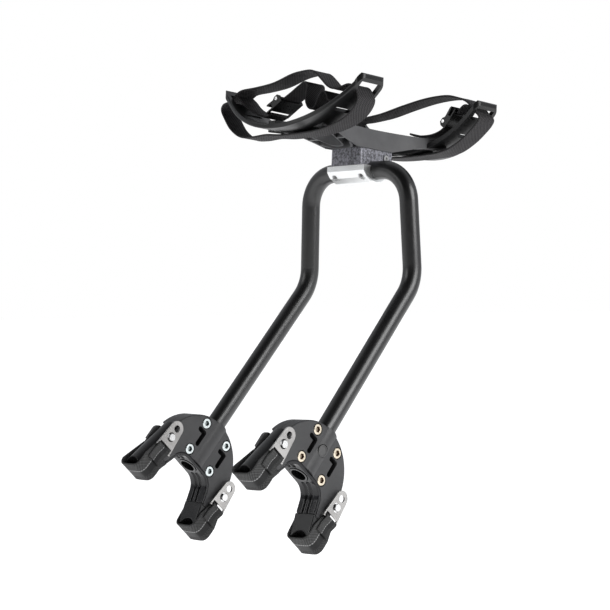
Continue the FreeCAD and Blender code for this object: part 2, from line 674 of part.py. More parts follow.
def arch_clamp_screws():
    solids = []
    for x, y in clamp_screw_places():
        head = cyl(3.1, V(x, y, -8.4), V(x, y, -5.0))
        key = cyl(1.3, V(x, y, -9), V(x, y, -6.6))
        shank = cyl(1.7, V(x, y, -5.0), V(x, y, CLAMP_SCREW_TOP - 0.5))
        solids.append(fuse([head, shank]).cut(key))
    return group(solids)


def mount_screws():
    """Four screws that hold the cradle's base down on the mount block."""
    low = MOUNT_SCREW_LOW + 0.5
    return group([cyl(2.0, V(x, y, low), V(x, y, 36)) for x, y in deck_screw_places()])


def pivot_screw():
    """Cross screw through the rear of the mount block, with its head on the +x face."""
    shank = cyl(2.3, V(-19, PIVOT_Y, PIVOT_Z), V(21, PIVOT_Y, PIVOT_Z))
    head = cyl(3.6, V(21, PIVOT_Y, PIVOT_Z), V(22.2, PIVOT_Y, PIVOT_Z))
    return fuse([shank, head]).cut(hex_prism(1.4, V(21.2, PIVOT_Y, PIVOT_Z), 4))


def saddle_screws():
    """Headless screws up through the saddles into the arms."""
    return group([cyl(1.4, V(x, y, ARM_LOW - 2.0), V(x, y, 37.5)) for x, y in arm_screw_places()])


# Webbing routes seen along y, as (x, z) points. Both start in the left tip slot and run over the top
# to the right tip slot, then back underneath the saddle.
FRONT_BELT = [(-84, 73), (-76, 76), (-55, 77), (-30, 79.5), (-5, 85.8), (12, 87.6), (23, 87.2), (30, 84),
              (38, 77.3), (46, 70.4), (54, 66.9), (64, 67), (73.5, 68.8), (80.3, 67.2), (84.6, 63.2),
              (87.6, 58.2), (88.6, 53.5), (85, 46.6), (77, 39.5), (66, 34), (50, 29.6), (34, 27.0), (18, 26.0),
              (0, 25.7), (-18, 25.8), (-38, 27.4), (-58, 26.6), (-76, 28.6), (-91, 37.5), (-101, 49.5),
              (-106, 58), (-104, 63.5), (-97, 65.4), (-91, 67.8)]
REAR_BELT = [(-84, 71.5), (-74, 71.8), (-60, 72.8), (-40, 75), (-12, 80.5), (14, 84.8), (34, 86.6),
             (52, 86.4), (66, 83.2), (77, 79.2), (84.2, 73.2), (89.3, 67.4), (94, 63.8), (96.2, 59.8),
             (93, 54.5), (86, 48.2), (75, 40), (59, 31.6), (42, 27.4), (22, 26.1), (0, 25.7),
             (-22, 26.1), (-42, 28.2), (-60, 33), (-76, 42), (-88, 52.5), (-94.4, 60), (-93.5, 65.5),
             (-90, 68.6)]


def belt(points, side):
    low = side * BELT_Y - BELT_W / 2
    return ribbon(points, BELT_T, low, low + BELT_W, closed=True)


# Buckles, in their own frame: x along the webbing, z off it, y across.
BUCKLE_HALF = 15.5
BUCKLE_LEN = 24.0
LEVER_HINGE = (7.0, 6.2)
PIN_R = 1.9


def buckle_frame():
    """Cam buckle body: floor plate with a bar at one end, and two cheeks for the lever's pin."""
    floor = box(-BUCKLE_LEN / 2, BUCKLE_LEN / 2, -BUCKLE_HALF, BUCKLE_HALF, 0, 1.6)
    floor = floor.cut(box(-BUCKLE_LEN / 2 + 2.4, -BUCKLE_LEN / 2 + 6.2, -13.3, 13.3, -1, 3))
    parts = [floor]
    for sign in (-1, 1):
        y0, y1 = sorted((sign * BUCKLE_HALF, sign * (BUCKLE_HALF - 1.8)))
        cheek = prism([V(-2, y0, 1.6), V(12, y0, 1.6), V(12, y0, 6.5), V(9.5, y0, 9.4), V(5, y0, 9.4),
                       V(-2, y0, 4.5)], V(0, y1 - y0, 0))
        parts.append(cheek)
    body = fuse(parts)
    x, z = LEVER_HINGE
    return body.cut(cyl(PIN_R, V(x, -30, z), V(x, 30, z)))


def buckle_lever():
    """Toothed cam with a flat thumb plate, on the pin."""
    x, z = LEVER_HINGE
    half = BUCKLE_HALF - 2.2
    cam = cyl(2.7, V(x, -half, z), V(x, half, z))
    plate = prism([V(x, -half, z - 0.4), V(x - 16, -half, z + 1.4), V(x - 17.3, -half, z + 2.9),
                   V(x - 15, -half, z + 3.4), V(x, -half, z + 2.4)], V(0, 2 * half, 0))
    return fuse([cam, plate]).cut(cyl(PIN_R + 0.05, V(x, -30, z), V(x, 30, z)))


def buckle_pin():
    x, z = LEVER_HINGE
    return cyl(PIN_R - 0.02, V(x, -BUCKLE_HALF - 0.6, z), V(x, BUCKLE_HALF + 0.6, z))


def buckle_place(side):
    """The front buckle hangs below the strap by the left wing; the rear one lies by the right wing."""
    if side < 0:
        return FreeCAD.Placement(V(-24, -BELT_Y, 53.8), FreeCAD.Rotation(V(0, 1, 0), -30))
    lean = FreeCAD.Rotation(V(0, 1, 0), -52)
    return FreeCAD.Placement(V(60, BELT_Y, 61.0), lean.multiply(FreeCAD.Rotation(UP, 180)))


FRONT_ANCHOR = [(-84, 70.7), (-78, 66.2), (-70, 59), (-58, 52.4), (-47, 47.8), (-38.6, 45.8), (-31.4, 48.2)]
REAR_ANCHOR = [(81.5, 72.4), (78.6, 74.4), (74.7, 74.3), (70.9, 71.8), (66.7, 67.1)]
FRONT_TAIL = [(-15.3, 62), (-5, 67), (6, 73), (14, 76.6), (18.8, 74), (18, 68), (17, 60), (20, 52.2),
              (26, 49), (31.3, 51.8), (34.5, 58.5), (38, 64), (42.5, 64.8), (46, 61), (48.5, 56), (54, 54)]
REAR_TAIL = [(50.7, 53.9), (43, 49.4), (33, 46.7), (22, 46.1), (11, 47), (2, 50)]


def open_strap(points, side):
    low = side * BELT_Y - BELT_W / 2
    return ribbon(points, BELT_T, low, low + BELT_W)


def save(name, shape, place=None):
    if place is not None:
        shape = shape.copy()
        shape.Placement = place.multiply(shape.Placement)
    shape.exportStep("parts/" + name + ".step")
    print(name, "solids", len(shape.Solids), "valid", shape.isValid(), "volume", round(shape.Volume))


def save_clamp(name, side):
    """All pieces of one stay clamp. The outer shell faces away from the wheel; the tabs are at +x."""
    place = clamp_place(side)
    save(name + "_outer_shell", clamp_shell(side, True), place)
    save(name + "_inner_shell", clamp_shell(-side, False), place)
    save(name + "_round_plug", badge_plug(side), place)
    save(name + "_throat_liner", clamp_liner(), place)
    save(name + "_clamp_bolts", clamp_bolts(side), place)
    save(name + "_clamp_nuts", clamp_nuts(-side), place)
    save(name + "_strap_studs", strap_studs(), place)
    save(name + "_strap_anchors", strap_anchors(), place)
    for level, sign in (("upper", -1), ("lower", 1)):
        save(name + "_" + level + "_foot_pad", foot_pad(sign), place)
        save(name + "_" + level + "_strap", foot_strap(sign), place)
        save(name + "_" + level + "_tab", strap_tab(sign), place)


def save_cradle():
    save("arch_clamp", arch_clamp(), CRADLE_PLACE)
    save("arch_clamp_screws", arch_clamp_screws(), CRADLE_PLACE)
    save("mount_block", mount_block(), CRADLE_PLACE)
    save("mount_screws", mount_screws(), CRADLE_PLACE)
    save("pivot_screw", pivot_screw(), CRADLE_PLACE)
    save("cradle_base", cradle_base(), CRADLE_PLACE)
    save("saddle_screws", saddle_screws(), CRADLE_PLACE)
    routes = {"front": (-1, FRONT_BELT, FRONT_ANCHOR, FRONT_TAIL),
              "rear": (1, REAR_BELT, REAR_ANCHOR, REAR_TAIL)}
    for name, (side, loop, anchor, tail) in routes.items():
        save(name + "_saddle", saddle(side), CRADLE_PLACE)
        save(name + "_belt", belt(loop, side), CRADLE_PLACE)
        save(name + "_buckle_strap", open_strap(anchor, side), CRADLE_PLACE)
        save(name + "_strap_tail", open_strap(tail, side), CRADLE_PLACE)
        place = CRADLE_PLACE.multiply(buckle_place(side))
        save(name + "_buckle_frame", buckle_frame(), place)
        save(name + "_buckle_lever", buckle_lever(), place)
        save(name + "_buckle_pin", buckle_pin(), place)


def main():
    os.makedirs("parts", exist_ok=True)
    save("frame_tube", frame_tube())
    for name, side in (("left", -1), ("right", 1)):
        save_clamp(name, side)
    save_cradle()


main()
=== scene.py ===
"""Looks of the bicycle cargo rack: materials for the hard parts, and webbing and rubber modelled here.

Everything is in metres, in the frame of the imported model. Soft pieces are laid out in two local frames:
a stay clamp's (x across, y down the leg, z along the stay) and the cradle's (x across, z up from the deck).
"""

import json
import math
import random

import bmesh
import bpy
from mathutils import Matrix, Vector


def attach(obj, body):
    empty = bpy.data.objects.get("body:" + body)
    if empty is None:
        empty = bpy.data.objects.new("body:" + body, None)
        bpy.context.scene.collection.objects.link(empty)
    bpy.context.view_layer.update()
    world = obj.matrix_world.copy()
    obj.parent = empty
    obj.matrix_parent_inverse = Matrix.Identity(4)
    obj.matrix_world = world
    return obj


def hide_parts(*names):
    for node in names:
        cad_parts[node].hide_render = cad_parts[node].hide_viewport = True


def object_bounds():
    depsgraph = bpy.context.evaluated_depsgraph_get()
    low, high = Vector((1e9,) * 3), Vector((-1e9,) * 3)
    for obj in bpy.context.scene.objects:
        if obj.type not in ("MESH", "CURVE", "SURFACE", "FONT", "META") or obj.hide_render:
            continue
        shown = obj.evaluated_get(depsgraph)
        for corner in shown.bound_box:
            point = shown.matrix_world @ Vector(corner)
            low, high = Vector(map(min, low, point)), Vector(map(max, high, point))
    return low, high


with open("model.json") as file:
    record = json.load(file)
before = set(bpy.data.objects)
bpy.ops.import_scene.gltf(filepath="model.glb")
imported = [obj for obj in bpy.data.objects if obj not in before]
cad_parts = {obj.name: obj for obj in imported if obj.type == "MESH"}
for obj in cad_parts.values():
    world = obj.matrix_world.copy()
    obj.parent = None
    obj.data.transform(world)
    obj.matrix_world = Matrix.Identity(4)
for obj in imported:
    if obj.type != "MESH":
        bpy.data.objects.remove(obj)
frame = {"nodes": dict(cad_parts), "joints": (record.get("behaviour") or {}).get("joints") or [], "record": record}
CAD_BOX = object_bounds()
NODES = frame["nodes"]
JOINTS = {joint["name"]: joint for joint in frame["joints"]}
MOUNTS = {mount["name"]: mount for mount in frame["record"]["mounts"]}
SLOT_OF = {part["node"]: part["material_slot"] for part in frame["record"]["subparts"]}
MM = 0.001


# ---------------------------------------------------------------- local frames
def axes_matrix(x_axis, y_axis, z_axis, origin):
    rotation = Matrix((x_axis, y_axis, z_axis)).transposed().to_4x4()
    return Matrix.Translation(origin) @ rotation


def clamp_frame(side):
    """The stay clamp's frame: x across, y down the leg, z along the stay."""
    joint = JOINTS[side + "_clamp_turn"]
    down = Vector(joint["axis"]).normalized()
    along = Vector(MOUNTS["bicycle_stays"]["axis"]).normalized()
    return axes_matrix(down.cross(along), down, along, Vector(joint["pos_m"]))


def cradle_frame():
    """The cradle's frame: its origin on the arch tube's axis, z square to the deck."""
    up = Vector(MOUNTS["bag_rest"]["axis"]).normalized()
    across = Vector((1, 0, 0))
    return axes_matrix(across, up.cross(across), up, Vector(JOINTS["cradle_tilt"]["pos_m"]))


CLAMP = {side: clamp_frame(side) for side in ("left", "right")}
CRADLE = cradle_frame()


# ---------------------------------------------------------------- materials
def new_material(name, **values):
    """A Principled material; keyword names are its socket names with underscores for spaces."""
    material = bpy.data.materials.new(name)
    material.use_nodes = True
    shader = material.node_tree.nodes["Principled BSDF"]
    for socket, value in values.items():
        shader.inputs[socket.replace("_", " ")].default_value = value
    return material, material.node_tree, shader


def grey(level, tint=(1.0, 1.0, 1.0)):
    return (level * tint[0], level * tint[1], level * tint[2], 1.0)


def node(tree, kind, settings=None, **inputs):
    made = tree.nodes.new(kind)
    for key, value in (settings or {}).items():
        setattr(made, key, value)
    for key, value in inputs.items():
        made.inputs[key.replace("_", " ")].default_value = value
    return made


def object_place(tree, stretch=(1, 1, 1)):
    """Coordinates that ride with the object, in metres, stretched along the axes."""
    place = node(tree, "ShaderNodeTexCoord")
    mapping = node(tree, "ShaderNodeMapping", Scale=stretch)
    tree.links.new(place.outputs["Object"], mapping.inputs["Vector"])
    return mapping.outputs["Vector"]


def noise(tree, place, scale, detail=3.0, roughness=0.55):
    made = node(tree, "ShaderNodeTexNoise", Scale=scale, Detail=detail, Roughness=roughness)
    tree.links.new(place, made.inputs["Vector"])
    return made.outputs["Fac"]


def remap(tree, value, low, high, start=0.3, end=0.7):
    """A value that runs from low to high while the input runs from start to end."""
    made = node(tree, "ShaderNodeMapRange")
    for key, number in (("From Min", start), ("From Max", end), ("To Min", low), ("To Max", high)):
        made.inputs[key].default_value = number
    tree.links.new(value, made.inputs["Value"])
    return made.outputs["Result"]


def ramp(tree, value, stops):
    made = node(tree, "ShaderNodeValToRGB")
    points = made.color_ramp.elements
    for point, (at, colour) in zip(points, stops[:2]):
        point.position, point.color = at, colour
    for at, colour in stops[2:]:
        points.new(at).color = colour
    tree.links.new(value, made.inputs["Fac"])
    return made.outputs["Color"]


def bump(tree, shader, height, distance, strength=0.6, under=None):
    made = node(tree, "ShaderNodeBump", Strength=strength, Distance=distance)
    tree.links.new(height, made.inputs["Height"])
    if under is not None:
        tree.links.new(under, made.inputs["Normal"])
    tree.links.new(made.outputs["Normal"], shader.inputs["Normal"])


def soft_edge(tree, radius):
    """Normals that read as rounded edges."""
    return node(tree, "ShaderNodeBevel", {"samples": 4}, Radius=radius).outputs["Normal"]


def painted_hollow_shade(tree, colour, shade_reach, darkest):
    """The colour with painted shade: darker in deep narrow places, where ambient occlusion finds other surfaces
    near.
    """
    made = node(tree, "ShaderNodeAmbientOcclusion", {"samples": 8, "only_local": True}, Distance=shade_reach)
    shade = remap(tree, made.outputs["AO"], darkest, 1.0, 0.25, 0.75)
    product = node(tree, "ShaderNodeMix", {"data_type": "RGBA", "blend_type": "MULTIPLY"})
    product.inputs["Factor"].default_value = 1.0
    tree.links.new(colour, product.inputs[6])
    tree.links.new(shade, product.inputs[7])
    return product.outputs[2]


def moulded(name, level, roughness, grain=900.0, depth=0.00006, edge=0.0004, tint=(1, 1, 1), shade_reach=0.0):
    """Moulded plastic or rubber: a fine grain, uneven gloss and faint cloudy tone, and, given a shade reach,
    painted shade in its hollows.
    """
    material, tree, shader = new_material(name)
    place = object_place(tree)
    clouds = noise(tree, place, 45.0, 4.0)
    stops = [(0.3, grey(level * 0.86, tint)), (0.7, grey(level * 1.12, tint))]
    colour = ramp(tree, clouds, stops)
    # painted shade: given a shade reach, ambient occlusion darkens the colour in hollows and recesses
    if shade_reach:
        colour = painted_hollow_shade(tree, colour, shade_reach, 0.06)
    tree.links.new(colour, shader.inputs["Base Color"])
    grains = noise(tree, place, grain, 2.0, 0.7)
    tree.links.new(remap(tree, clouds, roughness - 0.05, roughness + 0.06), shader.inputs["Roughness"])
    bump(tree, shader, grains, depth, under=soft_edge(tree, edge))
    return material


def metal(name, level, roughness, tint=(1, 1, 1), stretch=(1, 1, 1), lines=500.0, edge=0.0003, wear=0.10):
    """Metal with fine directional or even scratches."""
    material, tree, shader = new_material(name, Metallic=1.0)
    place = object_place(tree, stretch)
    fine = noise(tree, place, lines, 4.0, 0.65)
    clouds = noise(tree, object_place(tree), 60.0, 3.0)
    stops = [(0.3, grey(level * (1 - wear), tint)), (0.7, grey(min(1.0, level * (1 + wear)), tint))]
    tree.links.new(ramp(tree, clouds, stops), shader.inputs["Base Color"])
    tree.links.new(remap(tree, fine, roughness - 0.06, roughness + 0.08), shader.inputs["Roughness"])
    bump(tree, shader, fine, 0.00003, 0.5, soft_edge(tree, edge))
    return material


def satin_coat():
    """Anodised tube: almost black, with a fine satin grain that only shows at grazing light."""
    material, tree, shader = new_material("tube_anodised", IOR=1.75, Coat_Weight=0.1, Coat_Roughness=0.25)
    place = object_place(tree)
    grain = noise(tree, place, 1400.0, 3.0, 0.7)
    clouds = noise(tree, place, 30.0, 2.0)
    stops = [(0.3, grey(0.004, (1, 1, 1.06))), (0.7, grey(0.009, (1, 1, 1.04)))]
    tree.links.new(ramp(tree, grain, stops), shader.inputs["Base Color"])
    tree.links.new(remap(tree, clouds, 0.31, 0.38), shader.inputs["Roughness"])
    bump(tree, shader, grain, 0.00005, 0.5, soft_edge(tree, 0.0005))
    return material


def screw_metal(name, level, tint, dark):
    """Bright machined head with painted shade in its key hole: ambient occlusion mixes in the dark colour there.
    """
    material, tree, shader = new_material(name, Metallic=1.0)
    place = object_place(tree)
    fine = noise(tree, place, 900.0, 3.0, 0.6)
    bright = ramp(tree, fine, [(0.3, grey(level * 0.88, tint)), (0.7, grey(level, tint))])
    # painted shade: the dark colour fills the key hole where ambient occlusion finds it deep
    hole_shade = node(tree, "ShaderNodeAmbientOcclusion", {"samples": 8, "only_local": True}, Distance=0.004)
    mixed = node(tree, "ShaderNodeMix", {"data_type": "RGBA"})
    mixed.inputs[6].default_value = (*dark, 1.0)
    tree.links.new(remap(tree, hole_shade.outputs["AO"], 0.0, 1.0, 0.45, 0.85), mixed.inputs["Factor"])
    tree.links.new(bright, mixed.inputs[7])
    tree.links.new(mixed.outputs[2], shader.inputs["Base Color"])
    tree.links.new(remap(tree, fine, 0.24, 0.38), shader.inputs["Roughness"])
    bump(tree, shader, fine, 0.00003, 0.5, soft_edge(tree, 0.0003))
    return material


def speckled_casting():
    """Dark casting with coarse light and dark specks."""
    material, tree, shader = new_material("block_cast", Metallic=0.55)
    place = object_place(tree)
    specks = noise(tree, place, 2200.0, 2.0, 0.8)
    patches = noise(tree, place, 420.0, 3.0, 0.6)
    mixed = node(tree, "ShaderNodeMath", {"operation": "MULTIPLY_ADD"})
    mixed.inputs[1].default_value = 0.7
    tree.links.new(specks, mixed.inputs[0])
    tree.links.new(remap(tree, patches, 0.0, 0.3, 0.35, 0.65), mixed.inputs[2])
    stops = [(0.36, grey(0.09, (1, 1, 1.08))), (0.62, grey(0.34, (0.98, 0.98, 1.08)))]
    tree.links.new(ramp(tree, mixed.outputs[0], stops), shader.inputs["Base Color"])
    tree.links.new(remap(tree, patches, 0.36, 0.52), shader.inputs["Roughness"])
    bump(tree, shader, specks, 0.0001, 0.7, soft_edge(tree, 0.0006))
    return material


WEAVE = 20.0       # yarns across the width of a strap
FOOT_WEAVE = 1.35  # the foot straps' weft is closer
STITCH = 0.1       # one stitch and its gap, in strap widths


def weave(tree, across, along, pitch=1.0):
    """Height of a plain weave: crossing rows of bumps, from the strap's own coordinates."""
    waves = []
    for value, turns in ((across, WEAVE), (along, WEAVE * pitch)):
        scaled = node(tree, "ShaderNodeMath", {"operation": "MULTIPLY"})
        scaled.inputs[1].default_value = turns * math.pi
        tree.links.new(value, scaled.inputs[0])
        wave = node(tree, "ShaderNodeMath", {"operation": "SINE"})
        tree.links.new(scaled.outputs[0], wave.inputs[0])
        waves.append(wave.outputs[0])
    product = node(tree, "ShaderNodeMath", {"operation": "MULTIPLY"})
    tree.links.new(waves[0], product.inputs[0])
    tree.links.new(waves[1], product.inputs[1])
    return remap(tree, product.outputs[0], 0.0, 1.0, -1.0, 1.0)


def strap_place(tree):
    """The strap's own coordinates: across its width, and along it in widths."""
    place = node(tree, "ShaderNodeUVMap", {"uv_map": "strap"})
    split = node(tree, "ShaderNodeSeparateXYZ")
    tree.links.new(place.outputs["UV"], split.inputs["Vector"])
    return split.outputs["X"], split.outputs["Y"]


def webbing(name, dark, light, tint, roughness=0.72):
    """Woven nylon webbing, lighter on the tops of its raised yarns."""
    material, tree, shader = new_material(name, Specular_IOR_Level=0.25)
    across, along = strap_place(tree)
    height = weave(tree, across, along)
    fuzz = noise(tree, object_place(tree), 1600.0, 2.0, 0.7)
    clouds = noise(tree, object_place(tree), 40.0, 3.0)
    mixed = node(tree, "ShaderNodeMath", {"operation": "MULTIPLY_ADD"})
    mixed.inputs[1].default_value = 0.45
    tree.links.new(fuzz, mixed.inputs[0])
    tree.links.new(remap(tree, height, 0.0, 0.6, 0.0, 1.0), mixed.inputs[2])
    stops = [(0.32, grey(dark, tint)), (0.95, grey(light, tint))]
    tree.links.new(ramp(tree, mixed.outputs[0], stops), shader.inputs["Base Color"])
    tree.links.new(remap(tree, clouds, roughness - 0.08, roughness + 0.08), shader.inputs["Roughness"])
    bump(tree, shader, mixed.outputs[0], 0.00035, 0.8)
    return material


def foot_webbing():
    """Foot strap: ribbed webbing with a bright seam, a smooth coated strip and a coarse selvedge."""
    material, tree, shader = new_material("foot_webbing", Specular_IOR_Level=0.3)
    across, along = strap_place(tree)
    height = weave(tree, across, along, FOOT_WEAVE)
    fuzz = noise(tree, object_place(tree), 1500.0, 2.0, 0.7)
    zones = [(0.0, grey(1.0)), (0.38, grey(1.0)), (0.44, grey(0.08)), (0.76, grey(0.08)), (0.82, grey(0.8)),
             (1.0, grey(0.8))]
    rough_zone = ramp(tree, across, zones)
    woven = node(tree, "ShaderNodeMath", {"operation": "MULTIPLY"})
    tree.links.new(height, woven.inputs[0])
    tree.links.new(rough_zone, woven.inputs[1])
    cloth = ramp(tree, woven.outputs[0], [(0.15, grey(0.008)), (0.9, grey(0.13))])
    coated = ramp(tree, fuzz, [(0.3, grey(0.010, (1, 1, 1.04))), (0.7, grey(0.022, (1, 1, 1.04)))])
    colour = node(tree, "ShaderNodeMix", {"data_type": "RGBA"})
    tree.links.new(rough_zone, colour.inputs["Factor"])
    tree.links.new(coated, colour.inputs[6])
    tree.links.new(cloth, colour.inputs[7])
    thread = ramp(tree, across, [(0.40, grey(0.0)), (0.415, grey(1.0)), (0.445, grey(1.0)), (0.46, grey(0.0)),
                                 (0.765, grey(0.0)), (0.775, grey(0.35)), (0.785, grey(0.0))])
    stitch = node(tree, "ShaderNodeMath", {"operation": "MULTIPLY"})
    dash = node(tree, "ShaderNodeMath", {"operation": "PINGPONG"})
    dash.inputs[1].default_value = STITCH / 2
    tree.links.new(along, dash.inputs[0])
    tree.links.new(remap(tree, dash.outputs[0], 0.25, 1.0, STITCH * 0.14, STITCH * 0.2), stitch.inputs[0])
    tree.links.new(thread, stitch.inputs[1])
    sewn = node(tree, "ShaderNodeMix", {"data_type": "RGBA"})
    tree.links.new(stitch.outputs[0], sewn.inputs["Factor"])
    tree.links.new(colour.outputs[2], sewn.inputs[6])
    sewn.inputs[7].default_value = grey(0.30)
    tree.links.new(sewn.outputs[2], shader.inputs["Base Color"])
    tree.links.new(remap(tree, rough_zone, 0.36, 0.72, 0.0, 1.0), shader.inputs["Roughness"])
    bump(tree, shader, woven.outputs[0], 0.00025, 0.8)
    return material


MATERIALS = {
    "tube_anodised": satin_coat(),
    # shade_reach paints shade into the hollows of these plastics and rubbers
    "shell_plastic": moulded("shell_plastic", 0.060, 0.46, 1100.0, edge=0.0006, tint=(1, 1, 1.03),
                             shade_reach=0.009),
    "shell_trim": moulded("shell_trim", 0.10, 0.40, edge=0.0003),
    "liner_rubber": moulded("liner_rubber", 0.012, 0.16, edge=0.0009, tint=(1, 1, 1.15), shade_reach=0.006),
    "pad_rubber": moulded("pad_rubber", 0.020, 0.27, grain=700.0, tint=(1, 1, 1.05), shade_reach=0.012),
    "bolt_steel": metal("bolt_steel", 0.42, 0.34),
    # the last colour of each screw metal is the painted shade of its key hole
    "bolt_bronze": screw_metal("bolt_bronze", 0.86, (1.0, 0.90, 0.74), (0.07, 0.03, 0.012)),
    "nut_steel": screw_metal("nut_steel", 0.80, (0.94, 1.0, 1.0), (0.10, 0.12, 0.12)),
    "stud_steel": metal("stud_steel", 0.80, 0.28),
    "tab_steel": metal("tab_steel", 0.46, 0.34, (1.0, 0.98, 0.96), (1, 0.15, 0.15), 2600.0, 0.0004, 0.16),
    "foot_webbing": foot_webbing(),
    "belt_webbing": webbing("belt_webbing", 0.003, 0.115, (1.0, 0.96, 1.0)),
    "clamp_aluminium": metal("clamp_aluminium", 0.78, 0.32, (0.99, 1.0, 1.0), lines=1200.0, wear=0.03),
    "block_cast": speckled_casting(),
    "base_plastic": moulded("base_plastic", 0.10, 0.45, tint=(1, 1, 1.03), shade_reach=0.012),
    "saddle_plastic": moulded("saddle_plastic", 0.009, 0.32, tint=(1, 1, 1.04)),
    "buckle_metal": metal("buckle_metal", 0.055, 0.30),
    "buckle_black": moulded("buckle_black", 0.012, 0.20),
}


def dress_frame():
    """Gives every CAD node the material of its slot."""
    for name, obj in NODES.items():
        obj.data.materials.clear()
        obj.data.materials.append(MATERIALS[SLOT_OF[name]])


# ---------------------------------------------------------------- mesh helpers
def add_object(name, mesh, slot, body, replaced=()):
    obj = bpy.data.objects.new(name, mesh)
    bpy.context.scene.collection.objects.link(obj)
    mesh.materials.append(MATERIALS[slot])
    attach(obj, body)
    if replaced:
        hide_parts(*replaced)
    return obj


BAND_STEP = 1.0 * MM   # along a strap, from one ring of its mesh to the next
CURVE_PARTS = 24       # straight parts between two points of a route


def smooth_line(points, closed, step):
    """Evenly spaced samples of a Catmull-Rom curve through 2-D points, with running lengths."""
    count = len(points)
    last = count if closed else count - 1
    dense = []
    for index in range(last):
        if closed:
            p0, p1, p2, p3 = (Vector(points[(index + k) % count]) for k in (-1, 0, 1, 2))
        else:
            p0, p1, p2, p3 = (Vector(points[min(max(index + k, 0), count - 1)]) for k in (-1, 0, 1, 2))
        for part in range(CURVE_PARTS):
            t = part / CURVE_PARTS
            dense.append(0.5 * (2 * p1 + (p2 - p0) * t + (2 * p0 - 5 * p1 + 4 * p2 - p3) * t * t
                                + (3 * p1 - p0 - 3 * p2 + p3) * t ** 3))
    dense.append(Vector(points[0] if closed else points[-1]))
    lengths = [0.0]
    for before, after in zip(dense, dense[1:]):
        lengths.append(lengths[-1] + (after - before).length)
    rows = max(4, round(lengths[-1] / step))
    samples = []
    at = 0
    for row in range(rows if closed else rows + 1):
        wanted = lengths[-1] * row / rows
        while at < len(dense) - 2 and lengths[at + 1] < wanted:
            at += 1
        span = lengths[at + 1] - lengths[at] or 1.0
        samples.append((dense[at].lerp(dense[at + 1], (wanted - lengths[at]) / span), wanted))
    return samples


def strap_section(width, thickness, steps=14):
    """Closed outline across a strap: (across, off, u) with soft round selvedges a little thicker."""
    half, thick = width / 2, thickness / 2
    top = []
    for index in range(steps + 1):
        u = index / steps
        across = (u - 0.5) * (width - thickness)
        swell = 1.0 + 0.16 * math.exp(-((min(u, 1 - u) * width / (1.1 * MM)) ** 2))
        top.append((across, thick * swell, u))
    side = [(half - thick + thick * 0.7, thick * 0.7, 1.0), (half, 0.0, 1.0),
            (half - thick + thick * 0.7, -thick * 0.7, 1.0)]
    bottom = [(across, -off, u) for across, off, u in reversed(top)]
    other = [(-across, -off, 0.0) for across, off, u in side]
    return top + side + bottom + other


def band(name, points, width, thickness, place, centre, closed=False, lift=None, narrow=None, shift=None):
    """Mesh of a strap: a line of (x, z) points in a local frame, as wide as given about y = centre.

    Given the running length and the whole length, narrow returns the part of the width that is left, and
    shift how far the strap has moved sideways.
    """
    samples = smooth_line(points, closed, BAND_STEP)
    section = strap_section(width, thickness)
    mesh = bmesh.new()
    layer = mesh.loops.layers.uv.new("strap")
    rings = []
    count = len(samples)
    whole = samples[-1][1]
    for index, (at, run) in enumerate(samples):
        left = 1.0 if narrow is None else narrow(run, whole)
        aside = 0.0 if shift is None else shift(run, whole)
        if closed:
            ahead, behind = samples[(index + 1) % count][0], samples[index - 1][0]
        else:
            ahead, behind = samples[min(index + 1, count - 1)][0], samples[max(index - 1, 0)][0]
        tangent = (ahead - behind).normalized()
        normal = Vector((-tangent.y, tangent.x))
        ring = []
        for across, off, u in section:
            wave = 0.0 if lift is None else lift(run, u)
            flat = at + normal * (off + wave)
            corner = place @ Vector((flat.x, centre + aside + across * left, flat.y))
            ring.append((mesh.verts.new(corner), u, run / width))
        rings.append(ring)
    total = samples[-1][1] / width + BAND_STEP / width
    size = len(section)
    for index in range(count if closed else count - 1):
        near, far = rings[index], rings[(index + 1) % count]
        wrap = closed and index == count - 1
        for k in range(size):
            corners = [near[k], near[(k + 1) % size], far[(k + 1) % size], far[k]]
            face = mesh.faces.new([corner[0] for corner in corners])
            face.smooth = True
            for loop, (corner, far_side) in zip(face.loops, zip(corners, (0, 0, 1, 1))):
                loop[layer].uv = (corner[1], total if wrap and far_side else corner[2])
    if not closed:
        for ring in (rings[0], rings[-1]):
            face = mesh.faces.new([vert for vert, _, _ in ring])
            for loop, (_, u, v) in zip(face.loops, ring):
                loop[layer].uv = (u, v)
    bmesh.ops.recalc_face_normals(mesh, faces=mesh.faces)
    made = bpy.data.meshes.new(name)
    mesh.to_mesh(made)
    mesh.free()
    return made


def softened(name, source, voxel, rounds):
    """A copy of a CAD node's mesh with every edge rounded, for rubber."""
    copy = bpy.data.objects.new(name, NODES[source].data.copy())
    bpy.context.scene.collection.objects.link(copy)
    remesh = copy.modifiers.new("remesh", "REMESH")
    remesh.mode = "VOXEL"
    remesh.voxel_size = voxel
    smooth = copy.modifiers.new("smooth", "SMOOTH")
    smooth.iterations = rounds
    smooth.factor = 0.5
    graph = bpy.context.evaluated_depsgraph_get()
    mesh = bpy.data.meshes.new_from_object(copy.evaluated_get(graph))
    bpy.data.objects.remove(copy)
    mesh.materials.clear()
    for face in mesh.polygons:
        face.use_smooth = True
    mesh.name = name
    return mesh


# ---------------------------------------------------------------- cradle straps
BELT_Y = 86.5 * MM
BELT_WIDTH = 25 * MM
BELT_THICK = 1.7 * MM

